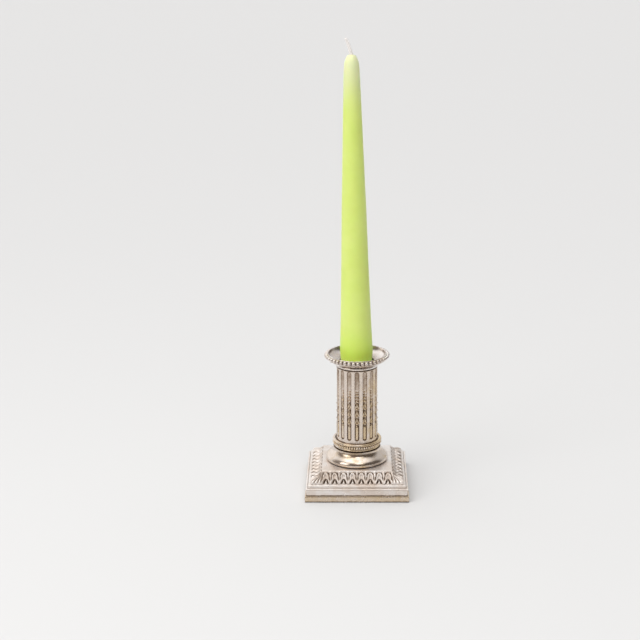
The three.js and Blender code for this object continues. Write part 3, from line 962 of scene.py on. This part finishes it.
# one strand, wound about the wick's middle line, which droops to the left above the wax
def drawStrand(turnAtStart):
    foot = candle["buttZ"] - candle["pivotZ"] + candle["length"] - wick["sunk"]
    curve = bpy.data.curves.new("strand", "CURVE")
    curve.dimensions = "3D"
    curve.bevel_depth = wick["strand"] * mm
    curve.bevel_resolution = 3
    curve.use_fill_caps = True
    line = curve.splines.new("POLY")
    line.points.add(wick["steps"])
    for i in range(wick["steps"] + 1):
        climb = (wick["rise"] + wick["sunk"]) * i / wick["steps"]
        rise = max(climb - wick["sunk"], 0)
        turn = 2 * math.pi * (climb / wick["twist"] + turnAtStart)
        orbit = wick["orbit"] * (1 - 0.25 * rise / wick["rise"])
        x = orbit * math.cos(turn) - wick["lean"] * rise - wick["droop"] * rise * rise
        line.points[i].co = (x * mm, orbit * math.sin(turn) * mm, (foot + climb) * mm, 1)
        line.points[i].radius = 1 - 0.3 * (rise / wick["rise"]) ** 3
    strand = bpy.data.objects.new("strand", curve)
    bpy.context.scene.collection.objects.link(strand)
    pickOnly(strand)
    bpy.ops.object.convert(target="MESH")
    return bpy.context.object


def makeWick():
    strands = [drawStrand(k / wick["strands"]) for k in range(wick["strands"])]
    piece = joinAll("twisted_wick", strands)
    leanOver(piece)
    smoothShade(piece, 60)
    handOver(piece, "candle", "cotton_wick", cotton, "candle_wick")


makeCandle()
makeWick()
print("candle ready")


# felt under the base, and the plain parts that stay as the frame has them
def makeFelt():
    low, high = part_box("felt_pad")
    deselectAll()
    bpy.ops.mesh.primitive_cube_add(size=1, location=(low + high) / 2)
    piece = bpy.context.object
    piece.name = "felt_sole"
    piece.scale = high - low
    bpy.ops.object.transform_apply(location=True, rotation=True, scale=True)
    bpy.ops.object.mode_set(mode="EDIT")
    bpy.ops.mesh.select_all(action="SELECT")
    bpy.ops.mesh.bevel(offset=0.35 * mm, segments=3)
    smoothShade(piece, 40)
    handOver(piece, "stand", "baize", baize, "felt_pad")


innerParts = {
    "base_cover": steel,
    "base_weight": iron,
    "tie_rod": steel,
    "rod_nut": steel,
    "rod_washer": steel,
    "column_plug": wornSilver,
}


def finishInnerParts():
    for node, material in innerParts.items():
        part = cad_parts[node]
        part.data.materials.clear()
        part.data.materials.append(material)


makeFelt()
finishInnerParts()
print("felt and inner parts ready")

# floor, light and camera
studio = {
    "floorTone": (0.60, 0.605, 0.612, 1),
    "roomTone": (0.20, 0.165, 0.14, 1),      # the unlit room in front
    "overheadTone": (2.3, 2.28, 2.26, 1),
    "wallTone": (1.16, 1.15, 1.14, 1),     # the white wall behind
    "sideFade": 0.45,       # how much darker the right-hand side of the room is
    "camera": (0, -0.9, 0.3833),
    "pitch": 16.21,
    "lens": 75.83,
    "shift": -0.0578,
    "floorSize": 60,
    "lampTone": (1.0, 0.99, 0.97),
    "lampAim": (0, 0, 0.06),
}
# the daylight comes from the left of the front; heading, height and spread are in degrees
daylight = {"heading": -31, "height": 54, "strength": 2.15, "spread": 88, "tone": (1.0, 0.99, 0.975)}
windowLeft = {"place": (-0.7, -0.55, 0.55), "size": (0.50, 0.55), "power": 1.7}
windowFront = {"place": (0.16, -0.75, 0.95), "size": (0.5, 0.34), "power": 0.85}


def makeStudio():
    deselectAll()
    bpy.ops.mesh.primitive_plane_add(size=studio["floorSize"])
    floor = bpy.context.object
    floor.name = "floor"
    material, _, shader = newMaterial("paper")
    shader.inputs["Base Color"].default_value = studio["floorTone"]
    shader.inputs["Roughness"].default_value = 0.9
    floor.data.materials.append(material)
    world = bpy.data.worlds.new("studio")
    bpy.context.scene.world = world
    world.use_nodes = True
    room = world.node_tree
    heading = addNode(room, "ShaderNodeSeparateXYZ", inputs={
        "Vector": addNode(room, "ShaderNodeTexCoord").outputs["Generated"]}).outputs
    upwards = spread(room, heading["Z"], 0.72, 0.98)
    tone = blendColour(room, upwards, studio["roomTone"], studio["overheadTone"])
    backwards = spread(room, heading["Y"], -0.05, 0.45)
    tone = blendColour(room, backwards, tone, studio["wallTone"])
    room.links.new(tone, room.nodes["Background"].inputs["Color"])
    side = spread(room, heading["X"], -0.8, 0.8, 1.0, 1 - studio["sideFade"])
    room.links.new(side, room.nodes["Background"].inputs["Strength"])
    bpy.context.scene.view_settings.view_transform = "Standard"


def addSoftbox(name, box):
    lamp = bpy.data.lights.new(name, "AREA")
    lamp.shape = "RECTANGLE"
    lamp.size, lamp.size_y = box["size"]
    lamp.energy = box["power"]
    lamp.color = studio["lampTone"]
    holder = bpy.data.objects.new(name, lamp)
    bpy.context.scene.collection.objects.link(holder)
    holder.location = box["place"]
    holder.rotation_euler = (Vector(studio["lampAim"]) - holder.location).to_track_quat("-Z", "Y").to_euler()


def addDaylight():
    lamp = bpy.data.lights.new("daylight", "SUN")
    lamp.energy = daylight["strength"]
    lamp.angle = math.radians(daylight["spread"])
    lamp.color = daylight["tone"]
    holder = bpy.data.objects.new("daylight", lamp)
    bpy.context.scene.collection.objects.link(holder)
    heading, height = math.radians(daylight["heading"]), math.radians(daylight["height"])
    level = Vector((math.sin(heading), -math.cos(heading), 0))
    towards = level * math.cos(height) + Vector((0, 0, math.sin(height)))
    holder.rotation_euler = towards.to_track_quat("Z", "Y").to_euler()
    holder.visible_glossy = False       # only the windows and the room are mirrored in the silver


def makeCamera():
    lens = bpy.data.cameras.new("camera")
    lens.lens = studio["lens"]
    lens.sensor_width = 36
    lens.shift_x = studio["shift"]
    lens.clip_start = 0.01
    camera = bpy.data.objects.new("camera", lens)
    bpy.context.scene.collection.objects.link(camera)
    camera.location = studio["camera"]
    camera.rotation_euler = (math.radians(90 - studio["pitch"]), 0, 0)
    bpy.context.scene.camera = camera


makeStudio()
addDaylight()
addSoftbox("windowLeft", windowLeft)
addSoftbox("windowFront", windowFront)
makeCamera()
print("studio ready")
